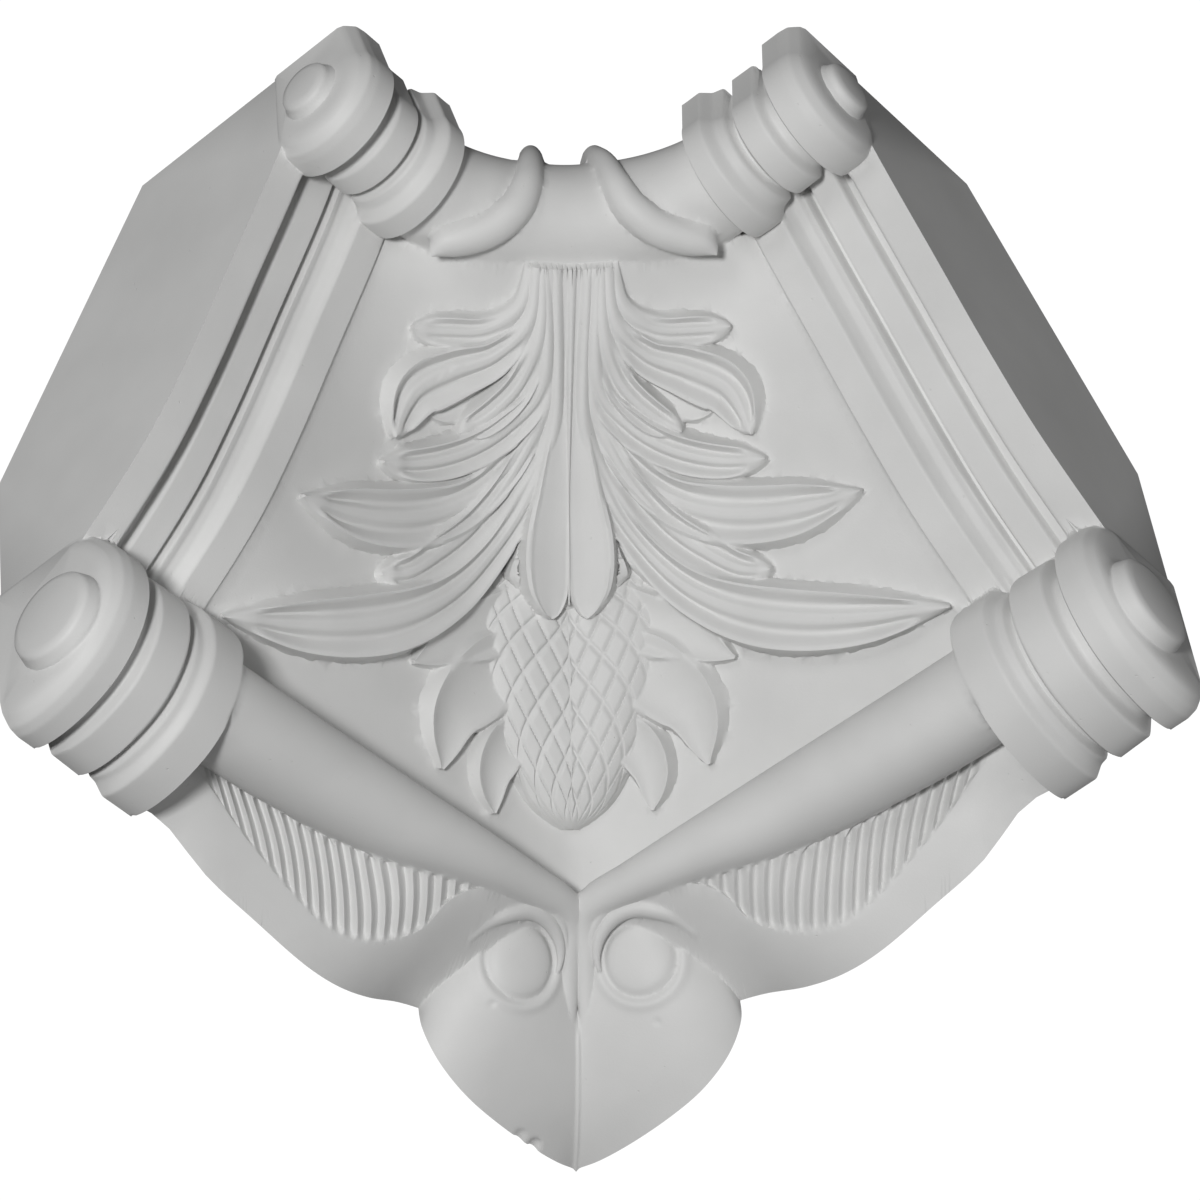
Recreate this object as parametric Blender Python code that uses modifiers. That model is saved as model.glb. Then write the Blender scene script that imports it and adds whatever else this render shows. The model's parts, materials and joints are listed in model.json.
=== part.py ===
"""Inside corner block for a crown moulding: one casting, in metres, +Z up.

The block hangs in the corner of a room, under the ceiling. The origin is on its flat ceiling face, +Y points
into the corner and the plane X = 0 halves the block. The right half is shaped and then mirrored.
Sizes are in millimetres: d runs along the wall from the corner, t stands off the wall, z is up.
"""
import math

import bpy
import bmesh
from mathutils import Vector

MM = 0.001
ROOT2 = math.sqrt(2.0)

LEG = 300.0
CORNER_Y = 180.0
BACK_FLAT = 107.0
CEILING_START = 78.0

# The front of the outer band, as (z, t), from above the ceiling face to below the bottom roll.
FRONT = ((6, 168), (-20, 157), (-42, 145), (-80, 119.5), (-117, 94.3), (-143, 72.7), (-171, 38.6), (-205, -8))
# Across the bands, as (d, how far the face stands in front of FRONT).
BANDS = (
    (238, -22), (240.5, -6), (241.5, -2.5), (254, -2.5), (256.5, -5), (261, -10.5), (266, -9.5), (267.5, -8),
    (280, -8.5), (286, -1), (287.5, 0), (420, 0),
)
# The hollow of the panel on the plane X = 0, as (y before the corner, z).
HOLLOW = ((-266, -49.5), (-205, -72), (-150, -102), (-115, -138), (-90, -172), (-76, -198))
PANEL_TOP, PANEL_BOTTOM = -36.0, -178.0
PANEL_EDGE, PANEL_STEP, PANEL_BEND = 241.5, 5.0, 1.5

# Rolls: (d, radius) along the straight part, from the end face inwards.
TOP_T, TOP_Z, TOP_BEND = 163.7, -26.1, 85.7
TOP_DISCS = (
    (302, 17), (300.8, 21.5), (297, 24.8), (293, 25.4), (284.4, 25.4), (283.6, 16.8), (279, 16.8),
    (276.5, 20.6), (266, 20.8), (264.3, 17.8), (262.8, 20.2), (258, 21.4), (254.4, 25.2), (244.4, 25.2),
    (243.6, 19.8),
)
TOP_SHAFT = ((58, 20.4), (40, 21.4), (20, 22.3), (0, 22.5), (-6, 22.5))
# Where the upper front of a top disc runs up to the ceiling, for a radius of 1.
TOP_CROWN = ((0.76, 1.35), (-0.8, 1.35))
LOW_T, LOW_Z = 30.6, -207.1
LOW_DISCS = (
    (302, 19), (300.8, 22.6), (297, 25.4), (293, 26.3), (284.4, 26.3), (283.6, 20), (279.4, 20),
    (276.8, 24.4), (262, 25), (260.4, 21.6), (258.8, 23), (255, 23.6), (251.8, 26.3), (236.6, 26.3),
    (235.8, 17),
)
# Outline of a low disc for a radius of 1: flat below, leaning back along the band above.
LOW_OUTLINE = (
    (-1.5, -0.8), (-1.2, -1.04), (-0.85, -1.16), (-0.35, -1.14), (0.2, -0.96), (0.6, -0.66), (0.9, -0.2),
    (1.01, 0.3), (0.93, 0.85), (0.6, 1.4), (0.25, 1.75), (-1.5, 1.75),
)
# The tapered lower roll as (d, t, z, radius), ending in the curl beside the middle.
LOW_SHAFT = (
    (240, 36.5, -204, 19), (200, 38.5, -204, 18.4), (150, 44, -204.5, 16), (112, 51.5, -205, 11.6),
    (84, 56, -204, 8), (66, 57, -203, 6.8), (57, 52.5, -206, 5.8), (50.5, 45.5, -213, 4.8),
    (42.5, 37.5, -222, 3.8), (33, 28, -235, 2.2),
)

# The fluted leaf under each roll: (d, t and z of its top line, z of its edge on the wall).
LEAF = (
    (262, 21, -213, -226), (236, 20.5, -212.5, -227), (221, 21, -212, -226), (200, 22.5, -210.5, -238),
    (175, 29, -212.5, -244), (147, 37, -215, -249), (131, 45.5, -214.5, -248), (115, 51.5, -214, -243),
    (97, 55, -212, -234), (84, 55, -210, -229), (60, 54, -205, -222),
)
FLUTES, FLUTE_DEPTH = 23, 1.9
FLUTES_FROM, FLUTES_TO, FLUTE_LEAN = 90.0, 222.0, 33.0
# How far down the leaf the flutes reach, as (d, share of the way to the wall).
FLUTES_END = (
    (60, 0.06), (88, 0.08), (98, 0.16), (106, 0.29), (113, 0.47), (125, 0.61), (145, 0.72), (168, 0.69),
    (190, 0.51), (214, 0.13), (224, 0.05), (262, 0.05),
)

# The tail under the corner: its outer ridge, its middle line (d = t) and its edge on the wall, as (d, t, z).
RIDGE = ((90, 53, -206), (84, 41, -207.5), (86.5, 26, -213), (87.5, 10, -219.5), (85, -1.5, -227))
MIDDLE = ((54, 54, -200), (43, 43, -217), (31, 31, -236), (15.5, 15.5, -251), (-1.5, -1.5, -260))
TAIL_EDGE = (
    (-1.5, -1.5, -260), (22, -1.5, -263), (44, -1.5, -263), (62, -1.5, -260), (76, -1.5, -252),
    (84, -1.5, -240), (85, -1.5, -227),
)
EYE_D, EYE_T, EYE_Z, EYE_R = 68.6, 37.5, -221, 14.0

# Strands of the leaves, each from its root to its tip as (across the panel, down the panel, half width, rise).
STRANDS = {
    "strand_top_small": (
        (0.215, 0.0, 3, 2.5), (0.26, 0.05, 4, 5.5), (0.42, 0.095, 6, 5), (0.6, 0.125, 6.5, 4.5),
        (0.775, 0.157, 0.8, 3),
    ),
    "strand_top_large": (
        (0.185, 0.0, 3, 2.5), (0.215, 0.065, 4.5, 6.5), (0.37, 0.125, 8, 6.5), (0.56, 0.18, 11, 6),
        (0.7, 0.25, 11, 5), (0.745, 0.355, 0.8, 3),
    ),
    "strand_top_inner": (
        (0.155, 0.0, 3, 2.5), (0.16, 0.075, 4.5, 7), (0.235, 0.14, 6, 7.5), (0.36, 0.2, 6.5, 7),
        (0.53, 0.27, 0.8, 3),
    ),
    "strand_middle_small": (
        (0.14, 0.0, 3, 2.5), (0.12, 0.096, 4, 7), (0.16, 0.155, 5.5, 7), (0.3, 0.215, 7, 6.5),
        (0.52, 0.3, 7.5, 6), (0.66, 0.36, 6, 5), (0.77, 0.41, 0.8, 3),
    ),
    "strand_middle_large": (
        (0.115, 0.0, 3, 2.5), (0.1, 0.14, 4.5, 7), (0.19, 0.21, 6, 7), (0.38, 0.31, 9, 7),
        (0.59, 0.42, 12.5, 6.5), (0.79, 0.53, 11, 5), (0.955, 0.622, 0.8, 3),
    ),
    "strand_middle_inner": (
        (0.13, 0.18, 4, 7), (0.25, 0.26, 5.5, 7), (0.4, 0.36, 7.5, 7.5), (0.53, 0.46, 8.5, 7),
        (0.62, 0.54, 6, 6), (0.7, 0.59, 0.8, 3),
    ),
    "strand_low_large": (
        (0.085, 0.0, 2.5, 2.5), (0.065, 0.117, 3.5, 7.5), (0.085, 0.2, 5, 8), (0.2, 0.29, 5.5, 8),
        (0.345, 0.395, 6.5, 8), (0.49, 0.52, 10, 8), (0.66, 0.66, 14, 7), (0.83, 0.79, 11, 5),
        (0.98, 0.893, 0.8, 3),
    ),
    "petal": (
        (0.03, 0.0, 3.5, 2.5), (0.028, 0.16, 4, 8), (0.05, 0.26, 6.5, 11), (0.08, 0.34, 9, 16),
        (0.09, 0.385, 8.5, 17.5), (0.105, 0.44, 1, 17.5),
    ),
    "side_leaf_top": ((0.16, 0.4, 6, 5), (0.28, 0.48, 9, 6), (0.42, 0.57, 8, 5), (0.545, 0.665, 0.8, 3)),
    "side_leaf_middle": ((0.2, 0.52, 8, 5), (0.33, 0.61, 12, 6), (0.4, 0.7, 10.5, 5), (0.415, 0.803, 0.8, 3)),
    "side_leaf_low": ((0.18, 0.62, 6, 4), (0.25, 0.68, 8, 5), (0.265, 0.745, 7, 5), (0.245, 0.807, 0.8, 3)),
}
# A strand that starts at the top of the panel begins inside the roll, this far up and back.
UNDER_ROLL = Vector((0, 2, 12))
# The cone as (down the panel, half width, how deep it is sunk), and how far it stands out.
CONE = (
    (0.33, 11, 13), (0.4, 23, 3), (0.43, 30, 0), (0.47, 34, 0), (0.53, 35, 0), (0.6, 33, 0), (0.67, 28.5, 0),
    (0.73, 21.5, 0), (0.765, 14, 0), (0.785, 4, 1),
)
CONE_RISE = 15.0

# Each strap round the top roll, from the ceiling down and outwards: (x, y before the corner, z, half width).
STRAP = (
    (11.6, -279, 8, 3.8), (12.3, -286.5, -3, 4.2), (14, -293, -16, 4.8), (16.5, -295, -31, 5.6),
    (21.5, -290.5, -43, 6.6), (30.5, -283.5, -50, 7.4), (42, -277, -52.5, 6.5), (54, -271.5, -51, 1.2),
)
STRAP_RISE = 6.5


def mix(points, x):
    """Smooth value at x through (x, value) points."""
    rows = sorted(points)
    xs = [row[0] for row in rows]
    ys = [row[1] for row in rows]
    slopes = [(ys[i + 1] - ys[i]) / (xs[i + 1] - xs[i]) for i in range(len(rows) - 1)]
    ends = [slopes[0]] + [(a + b) / 2 for a, b in zip(slopes, slopes[1:])] + [slopes[-1]]
    i = min(sum(1 for v in xs[1:-1] if x >= v), len(rows) - 2)
    width = xs[i + 1] - xs[i]
    u = (x - xs[i]) / width
    if u < 0:
        return ys[i] + ends[i] * (x - xs[i])
    if u > 1:
        return ys[i + 1] + ends[i + 1] * (x - xs[i + 1])
    start = ys[i] * (1 + 2 * u) * (1 - u) ** 2 + width * ends[i] * u * (1 - u) ** 2
    return start + ys[i + 1] * u * u * (3 - 2 * u) + width * ends[i + 1] * u * u * (u - 1)


def mix_rows(rows, u):
    """Smooth point at u (0 to 1) through evenly spaced rows of numbers."""
    steps = len(rows) - 1
    return [mix([(i / steps, row[k]) for i, row in enumerate(rows)], u) for k in range(len(rows[0]))]


def evenly(first, last, count):
    return [first + (last - first) * i / (count - 1) for i in range(count)]


def arm(d, t, z):
    """A point of the right arm, in the frame of the object."""
    return Vector(((d - t) / ROOT2, CORNER_Y - (d + t) / ROOT2, z))


def finished(name, bm, collection):
    """Closes the mesh, turns its faces outwards and puts it in the scene."""
    bmesh.ops.recalc_face_normals(bm, faces=bm.faces[:])
    bmesh.ops.scale(bm, vec=(MM, MM, MM), verts=bm.verts[:])
    mesh = bpy.data.meshes.new(name)
    bm.to_mesh(mesh)
    bm.free()
    made = bpy.data.objects.new(name, mesh)
    collection.objects.link(made)
    if collection.hide_render:
        made.hide_render = True
        made.display_type = "WIRE"
    return made


def sheet(name, across, down, place, back, collection):
    """A grid bent to place(a, b), then carried back into the corner as a solid."""
    bm = bmesh.new()
    columns, rows = len(across) - 1, len(down) - 1
    bmesh.ops.create_grid(bm, x_segments=columns, y_segments=rows, size=1.0)
    for vert in bm.verts:
        i = round((vert.co.x + 1) / 2 * columns)
        j = round((vert.co.y + 1) / 2 * rows)
        vert.co = place(across[i], down[j])
    carried = bmesh.ops.extrude_face_region(bm, geom=bm.faces[:])["geom"]
    bmesh.ops.translate(bm, vec=back, verts=[v for v in carried if isinstance(v, bmesh.types.BMVert)])
    return finished(name, bm, collection)


def loft(name, rings, collection):
    """A skin over unlike sections of one point count, with a cap at each end."""
    bm = bmesh.new()
    made = [[bm.verts.new(point) for point in ring] for ring in rings]
    for one, two in zip(made, made[1:]):
        for i in range(len(one)):
            bm.faces.new((one[i - 1], one[i], two[i], two[i - 1]))
    bm.faces.new(made[0])
    bm.faces.new(made[-1])
    return finished(name, bm, collection)


def bands(collection):
    def place(column, z):
        d, stand = column
        return arm(d, mix(FRONT, z) + stand, z)

    return sheet("bands", BANDS, evenly(6, -205, 15), place, Vector((0, 221, 245)), collection)


def panel_point(s, v):
    """The hollow panel: s runs from the middle (0) to the inner band (1), v from top (0) to bottom (1)."""
    z_edge = PANEL_TOP + (PANEL_BOTTOM - PANEL_TOP) * v
    edge = arm(PANEL_EDGE, mix(FRONT, z_edge) - PANEL_STEP, z_edge)
    y, z = mix_rows(HOLLOW, v)
    k = 1 - abs(s) ** PANEL_BEND
    return Vector((edge.x * s, edge.y + (y + CORNER_Y - edge.y) * k, edge.z + (z - edge.z) * k))


def panel_frame(s, v):
    """The panel point with its two directions and the normal towards the room."""
    step = 0.004
    point = panel_point(s, v)
    along_s = (panel_point(s + step, v) - panel_point(s - step, v)) / (2 * step)
    along_v = (panel_point(s, v + step) - panel_point(s, v - step)) / (2 * step)
    normal = along_s.cross(along_v).normalized()
    if normal.y > 0:
        normal = -normal
    return point, along_s, along_v, normal


def panel_offset(s, v, shift):
    """The panel place a given shift (a vector) away from s, v."""
    _, along_s, along_v, _ = panel_frame(s, v)
    ss, sv, vv = along_s.dot(along_s), along_s.dot(along_v), along_v.dot(along_v)
    bs, bv = along_s.dot(shift), along_v.dot(shift)
    det = ss * vv - sv * sv
    return s + (bs * vv - bv * sv) / det, v + (bv * ss - bs * sv) / det


def panel(collection):
    across = [-0.06, 0.0] + evenly(0.08, 1.0, 7) + [1.12]
    down = [-0.3, -0.12, -0.02] + evenly(0.0, 1.0, 10) + [1.12]

    def place(s, v):
        if s > 1:
            z = PANEL_TOP + (PANEL_BOTTOM - PANEL_TOP) * v
            return arm(PANEL_EDGE + 14, mix(FRONT, z) - PANEL_STEP - 12, z)
        if v >= -0.02:
            return panel_point(s, max(v, 0.0)) + Vector((0, 0, 1.5 if v < 0 else 0))
        return panel_point(s, 0.0) + Vector((0, 9 if v > -0.2 else 34, 10 if v > -0.2 else 60))

    return sheet("panel", across, down, place, Vector((3, 214, 231)), collection)


def relief_ring(s, v, across, half, rise, points, edge=0.45):
    """One section across a raised strand of the panel, closed below the panel."""
    top, foot_ends = [], []
    for u in evenly(-1.0, 1.0, points):
        a, b = panel_offset(s, v, across * (half * u))
        foot, _, _, up = panel_frame(a, b)
        top.append(foot + up * rise * (edge + (1 - edge) * (1 - u * u)))
        foot_ends.append(foot - up * 4.5)
    return top + [foot_ends[-1], foot_ends[0]]


def strand(name, line, stations, points, collection):
    rings = []
    for tau in evenly(0.0, 1.0, stations):
        s, v, half, rise = mix_rows(line, tau)
        s2, v2, _, _ = mix_rows(line, tau + 0.02)
        point, _, _, normal = panel_frame(s, v)
        across = normal.cross(panel_point(s2, v2) - point).normalized()
        rings.append(relief_ring(s, v, across, max(half, 0.8), rise, points, 0.88 if rise > 10 else 0.45))
    if line[0][1] == 0:
        rings.insert(0, [point + UNDER_ROLL * (1 + line[0][0]) for point in rings[0]])
    return loft(name, rings, collection)


def leaves(collection):
    for name, line in STRANDS.items():
        strand(name, line, len(line) + 3, 5, collection)


def cone(collection):
    rings = []
    for v, half, sunk in CONE:
        girth = (half / 35) ** 0.7
        ring = []
        for angle in evenly(-0.16 * math.pi, 1.16 * math.pi, 11):
            a, b = panel_offset(0.0, v, Vector((half * math.cos(angle), 0, 0)))
            foot, _, _, up = panel_frame(a, b)
            ring.append(foot + up * (CONE_RISE * girth * math.sin(angle) - sunk))
        foot, _, _, up = panel_frame(0.0, v)
        rings.append(ring + [foot - up * (9 + sunk)])
    return loft("cone", rings, collection)


def leaf_place(d, p):
    """The fluted leaf: p runs from its top line (0) to the wall (1); below 0 it is inside the roll."""
    t_top, z_top, z_wall = (mix([(row[0], row[k]) for row in LEAF], d) for k in (1, 2, 3))
    if p < 0:
        reach = 4 + 0.085 * (d - 60)
        return arm(d, t_top - 0.4 * reach * p, z_top - 0.8 * reach * p)
    bulge = 3.0 * math.sin(math.pi * min(p, 1.0))
    return arm(d, t_top * (1 - p) + bulge * 0.6, z_top + (z_wall - z_top) * p - bulge * 0.4)


def leaf(collection):
    """The leaf as a sheet whose columns are the ribs and grooves, leaning towards the corner."""
    pitch = (FLUTES_TO - FLUTES_FROM) / FLUTES
    ribs = [FLUTES_FROM + pitch * i / 2 for i in range(2 * FLUTES + 1)]
    across = [(60, 0), (78, 0)] + [(d, i % 2) for i, d in enumerate(ribs)] + [(238, 0), (262, 0)]
    down = [-1.0, -0.04, 0.02, 0.3, 0.57, 0.62, 0.85, 1.12]

    def place(column, w):
        d, groove = column
        lean = FLUTE_LEAN * min(1.0, (d - 60) / 45, (262 - d) / 45)
        end = mix(FLUTES_END, d - lean * 0.5)
        p = w if w < 0 else (w / 0.62 * end if w < 0.62 else end + (w - 0.62) / 0.38 * (1 - end))
        cut = FLUTE_DEPTH * groove if 0 <= w < 0.6 else 0.0
        return leaf_place(d - lean * max(p, 0.0), p) + Vector((0, 0.67, 0.742)) * cut

    return sheet("leaf_under_roll", across, down, place, Vector((1, 204, 216)), collection)


def tail_place(q, p):
    """The tail under the corner: q from the middle (0) to the ridge (1), p from the rolls (0) to the wall (1)."""
    ridge = Vector(mix_rows(RIDGE, p))
    middle = Vector(mix_rows(MIDDLE, p))
    edge = Vector(mix_rows(TAIL_EDGE, q))
    top = Vector(MIDDLE[0]).lerp(Vector(RIDGE[0]), q)
    corners = (Vector(MIDDLE[0]) * (1 - q) + Vector(RIDGE[0]) * q) * (1 - p)
    corners += (Vector(MIDDLE[-1]) * (1 - q) + Vector(RIDGE[-1]) * q) * p
    return arm(*(top * (1 - p) + edge * p + middle * (1 - q) + ridge * q - corners))


def tail(collection):
    return sheet("tail", evenly(-0.1, 1.0, 8), evenly(0.0, 1.0, 8), tail_place, Vector((-2, 190, 208)), collection)


def eye(collection):
    centre = arm(EYE_D, EYE_T, EYE_Z)
    out = Vector((-0.34, -0.71, -0.61)).normalized()
    side = out.cross(Vector((0, 0, 1))).normalized()
    up = out.cross(side)
    rings = []
    for radius, height in ((EYE_R, -8), (EYE_R, 1.0), (EYE_R - 1.6, 1.9), (EYE_R * 0.55, 2.8), (0.8, 3.2)):
        ring = []
        for i in range(14):
            angle = 2 * math.pi * i / 14
            ring.append(centre + out * height + (side * math.cos(angle) + up * math.sin(angle)) * radius)
        rings.append(ring)
    loft("eye", rings, collection)


def roll_place(length):
    """Point, direction to the room and d of the top roll, by length from the middle plane."""
    bend = TOP_BEND * math.pi / 4
    if length <= bend:
        angle = length / TOP_BEND
        y = CORNER_Y - (2 * TOP_T + TOP_BEND) / ROOT2 - TOP_BEND / ROOT2 + TOP_BEND * math.cos(angle)
        room = Vector((-math.sin(angle), -math.cos(angle), 0))
        return Vector((TOP_BEND * math.sin(angle), y, TOP_Z + 1.6 * math.cos(angle * 2))), room
    return arm(TOP_T + TOP_BEND + length - bend, TOP_T, TOP_Z), arm(0, 1, 0) - arm(0, 0, 0)


def top_roll(collection):
    bend = TOP_BEND * math.pi / 4
    rings = []
    up = Vector((0, 0, 1))
    for d, radius in TOP_DISCS:
        centre, room = roll_place(d - TOP_T - TOP_BEND + bend)
        outline = [(math.cos(math.radians(a)), math.sin(math.radians(a))) for a in evenly(-150, 20, 9)]
        rings.append([centre + (room * x + up * y) * radius for x, y in outline + list(TOP_CROWN)])
    loft("top_discs", rings, collection)
    rings = []
    for length, radius in ((72, 19.8),) + TOP_SHAFT:
        centre, room = roll_place(length)
        angles = [2 * math.pi * i / 16 for i in range(16)]
        rings.append([centre + (room * math.cos(a) + up * math.sin(a)) * radius for a in angles])
    loft("top_roll", rings, collection)


def strap(collection):
    """The strap that crosses the top roll from above the middle down to the panel."""
    rings = []
    for tau in evenly(0.0, 1.0, 11):
        x, y, z, half = mix_rows(STRAP, tau)
        x2, y2, z2, _ = mix_rows(STRAP, tau + 0.01)
        ridge = Vector((x, y + CORNER_Y, z))
        along = (Vector((x2, y2 + CORNER_Y, z2)) - ridge).normalized()
        centre, _ = roll_place(x * 1.05)
        out = ridge - centre
        out = (out - along * out.dot(along)).normalized()
        across = out.cross(along)
        ring = [ridge + across * half * u - out * STRAP_RISE * abs(u) ** 1.6 for u in evenly(-1.0, 1.0, 5)]
        rings.append(ring + [ridge + across * half * u - out * 15 for u in (1.0, -1.0)])
    loft("strap", rings, collection)


def low_roll(collection):
    rings = [[arm(d, LOW_T + x * r, LOW_Z + y * r) for x, y in LOW_OUTLINE] for d, r in LOW_DISCS]
    loft("low_discs", rings, collection)
    rings = []
    steps = 13
    for i in range(steps + 1):
        d, t, z, radius = mix_rows(LOW_SHAFT, i / steps)
        d2, t2, z2, _ = mix_rows(LOW_SHAFT, i / steps + 0.01)
        along = (arm(d2, t2, z2) - arm(d, t, z)).normalized()
        side = along.cross(Vector((0.3, 0.3, 1))).normalized()
        up = side.cross(along)
        angles = [2 * math.pi * j / 12 for j in range(12)]
        rings.append([arm(d, t, z) + (side * math.cos(a) + up * math.sin(a)) * radius for a in angles])
    loft("low_shaft", rings, collection)


def bosses(collection):
    for name, t, z, stations in (
        ("top_boss", TOP_T, TOP_Z, ((290, 12.6), (302.4, 12.2), (303.6, 11.2), (306, 10.4), (307, 9.2))),
        ("low_boss", LOW_T, LOW_Z, ((290, 19.4), (302.6, 19.2), (305, 18.4), (307.4, 17.6), (308.6, 15.8))),
    ):
        rings = []
        for d, radius in stations:
            angles = [2 * math.pi * i / 16 for i in range(16)]
            rings.append([arm(d, t + radius * math.cos(a), z + radius * math.sin(a)) for a in angles])
        loft(name, rings, collection)


def prism(name, outline, first, last, collection):
    return loft(name, [[arm(d, t, z) for t, z in outline] for d in (first, last)], collection)


def plaster_material():
    material = bpy.data.materials.new("primed_foam")
    material.use_nodes = True
    shader = material.node_tree.nodes["Principled BSDF"]
    shader.inputs["Base Color"].default_value = (0.62, 0.62, 0.62, 1.0)
    shader.inputs["Roughness"].default_value = 0.6
    return material


def boolean(target, name, operation, operand):
    modifier = target.modifiers.new(name, "BOOLEAN")
    modifier.operation = operation
    modifier.solver = "EXACT"
    if isinstance(operand, bpy.types.Collection):
        modifier.operand_type = "COLLECTION"
        modifier.collection = operand
    else:
        modifier.object = operand


def build():
    for old in list(bpy.data.objects):
        bpy.data.objects.remove(old, do_unlink=True)
    root = bpy.context.scene.collection
    kept = bpy.data.collections.new("inside_corner_moulding")
    slabs = bpy.data.collections.new("slabs")
    carved = bpy.data.collections.new("carved")
    cutters = bpy.data.collections.new("cutters")
    for collection in (kept, slabs, carved, cutters):
        root.children.link(collection)
        collection.hide_render = collection is not kept

    body = bands(kept)
    body.name = "corner_moulding"
    panel(slabs)
    leaf(slabs)
    tail(slabs)
    top_roll(carved)
    strap(carved)
    low_roll(carved)
    bosses(carved)
    eye(carved)
    leaves(carved)
    cone(carved)
    ends = prism("ends", ((-400, -500), (700, -500), (700, 600), (-400, 600)), -400, LEG, cutters)
    wall_side = ((0, -340), (360, -340), (360, 0), (CEILING_START, 0), (0, -BACK_FLAT))
    room_corner = prism("room_corner", wall_side, -120, 340, cutters)

    boolean(body, "join_slabs", "UNION", slabs)
    boolean(body, "trim_ends", "INTERSECT", ends)
    boolean(body, "join_carved", "UNION", carved)
    boolean(body, "trim_walls", "INTERSECT", room_corner)
    weld = body.modifiers.new("slivers", "WELD")
    weld.merge_threshold = 0.0001
    flat = body.modifiers.new("flat_faces", "DECIMATE")
    flat.decimate_type = "DISSOLVE"
    flat.angle_limit = math.radians(1.5)
    body.modifiers.new("triangles", "TRIANGULATE")
    mirror = body.modifiers.new("mirror", "MIRROR")
    mirror.use_axis[0] = True
    mirror.use_bisect_axis[0] = True
    mirror.bisect_threshold = 0.0000005
    mirror.merge_threshold = 0.000002
    body.data.materials.append(plaster_material())


build()
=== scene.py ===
# %% [markdown]
# # An inside corner block for a crown moulding
#
# The real object is one casting: a carved block of rigid foam that hides the joint where two lengths of
# crown moulding meet in the corner of a room. We look up at it from below. It has a roll on each arm above
# and below, a leaf carved on the hollow panel between them, a cone with scales in the middle and a pointed
# tail in the corner of the walls.
#
# A casting comes out of a mould in one go, so the model is made the same way: simple closed forms are
# shaped one by one, then joined with Boolean modifiers into one skin. Only the right half is shaped. A
# mirror gives the rest.

# %% Open the frame
import math

import bmesh
import bpy
from mathutils import Matrix, Vector
from mathutils.kdtree import KDTree
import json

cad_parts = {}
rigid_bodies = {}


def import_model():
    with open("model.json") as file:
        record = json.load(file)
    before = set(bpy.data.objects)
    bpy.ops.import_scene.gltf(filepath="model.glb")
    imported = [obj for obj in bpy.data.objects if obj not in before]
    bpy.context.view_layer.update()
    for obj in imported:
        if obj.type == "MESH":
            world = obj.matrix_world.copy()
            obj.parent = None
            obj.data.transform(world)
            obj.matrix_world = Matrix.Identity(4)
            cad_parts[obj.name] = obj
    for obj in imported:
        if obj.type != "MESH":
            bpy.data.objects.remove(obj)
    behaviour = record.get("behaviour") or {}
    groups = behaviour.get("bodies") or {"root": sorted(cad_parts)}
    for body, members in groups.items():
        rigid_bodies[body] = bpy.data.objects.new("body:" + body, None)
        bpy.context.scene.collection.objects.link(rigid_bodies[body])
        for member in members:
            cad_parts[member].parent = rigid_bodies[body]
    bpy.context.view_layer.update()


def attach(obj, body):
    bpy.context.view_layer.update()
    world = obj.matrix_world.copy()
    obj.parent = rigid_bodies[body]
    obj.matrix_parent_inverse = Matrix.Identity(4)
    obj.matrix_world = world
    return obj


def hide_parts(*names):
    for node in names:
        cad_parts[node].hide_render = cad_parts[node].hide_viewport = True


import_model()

MM = 0.001
ROOT2 = math.sqrt(2.0)
print("full detail")

# %% [markdown]
# ## The frame of reference
#
# The block is easiest to measure along its own arm: d runs along the wall from the corner, t stands off the
# wall and z is up, all in millimetres. One small function turns these into the frame of the object, where
# the corner of the room lies at Y = 180 and the plane X = 0 halves the block.

# %% Sizes of the whole block
LEG = 300.0
CORNER_Y = 180.0
BACK_FLAT = 107.0
CEILING_START = 78.0


def arm(d, t, z):
    """A point of the right arm, in the frame of the object."""
    return Vector(((d - t) / ROOT2, CORNER_Y - (d + t) / ROOT2, z))


print("outer corner of the arm", tuple(round(c, 1) for c in arm(LEG, 0, 0)))

# %% [markdown]
# ## Smooth lines through a few measured points
#
# A carver works from a few marks and lets the tool run smoothly between them. `mix` does the same with
# numbers: it passes through every mark and keeps the slope even. `rounded` is for profiles that have flat
# faces and tight corners, such as the discs of the rolls: it runs straight between the marks and softens
# each corner.

# %% Helpers for lines
def mix(points, x):
    """Smooth value at x through (x, value) points."""
    rows = sorted(points)
    xs = [row[0] for row in rows]
    ys = [row[1] for row in rows]
    slopes = [(ys[i + 1] - ys[i]) / (xs[i + 1] - xs[i]) for i in range(len(rows) - 1)]
    ends = [slopes[0]] + [(a + b) / 2 for a, b in zip(slopes, slopes[1:])] + [slopes[-1]]
    i = min(sum(1 for v in xs[1:-1] if x >= v), len(rows) - 2)
    width = xs[i + 1] - xs[i]
    u = (x - xs[i]) / width
    if u < 0:
        return ys[i] + ends[i] * (x - xs[i])
    if u > 1:
        return ys[i + 1] + ends[i + 1] * (x - xs[i + 1])
    start = ys[i] * (1 + 2 * u) * (1 - u) ** 2 + width * ends[i] * u * (1 - u) ** 2
    return start + ys[i + 1] * u * u * (3 - 2 * u) + width * ends[i + 1] * u * u * (u - 1)


def mix_rows(rows, u):
    """Smooth point at u (0 to 1) through evenly spaced rows of numbers."""
    steps = len(rows) - 1
    return [mix([(i / steps, row[k]) for i, row in enumerate(rows)], u) for k in range(len(rows[0]))]


def evenly(first, last, count):
    return [first + (last - first) * i / (count - 1) for i in range(count)]


def between(points, x):
    """Straight-line value at x through (x, value) points."""
    rows = sorted(points)
    if x <= rows[0][0]:
        return rows[0][1]
    for (x0, y0), (x1, y1) in zip(rows, rows[1:]):
        if x <= x1:
            return y0 + (y1 - y0) * (x - x0) / (x1 - x0)
    return rows[-1][1]


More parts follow.
